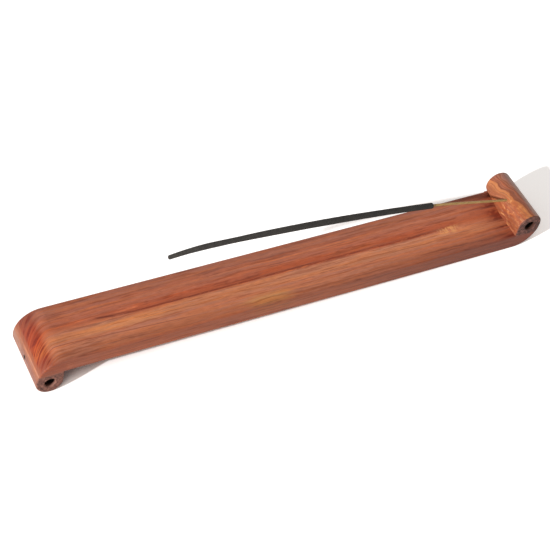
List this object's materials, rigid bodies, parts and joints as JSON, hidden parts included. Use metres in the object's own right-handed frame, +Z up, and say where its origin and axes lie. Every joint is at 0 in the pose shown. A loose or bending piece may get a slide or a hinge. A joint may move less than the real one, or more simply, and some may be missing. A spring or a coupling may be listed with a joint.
{
  "type": "incense stick holder",
  "caption": "S-shaped wooden incense stick holder: a grooved ash board with a scroll foot under one end and, above the other, a scroll whose socket holds a slanting, removable stick.",
  "frame": {"origin": "middle of the bounding box at the level of the surface that the holder rests on", "axes": "+X along the holder towards the end with the upper scroll, +Y across the board, +Z up"},
  "size_m": [0.2906, 0.036, 0.0555],
  "materials": {
    "board_wood": "satin oiled rosewood",
    "scroll_wood": "satin oiled rosewood",
    "brad_steel": "dull",
    "bamboo": "bare",
    "charcoal_paste": "matte"
  },
  "bodies": {
    "holder": {"tray_board": "board_wood", "upper_scroll": "scroll_wood", "foot_scroll": "scroll_wood", "scroll_brads": "brad_steel"},
    "incense_stick": {"incense_core": "bamboo", "incense_paste": "charcoal_paste"}
  },
  "joints": [
    {"name": "stick_slide", "type": "slide", "parent": "holder", "child": "incense_stick", "axis": [-0.9574, 0, 0.2888], "range_m": [0, 0.03]}
  ]
}
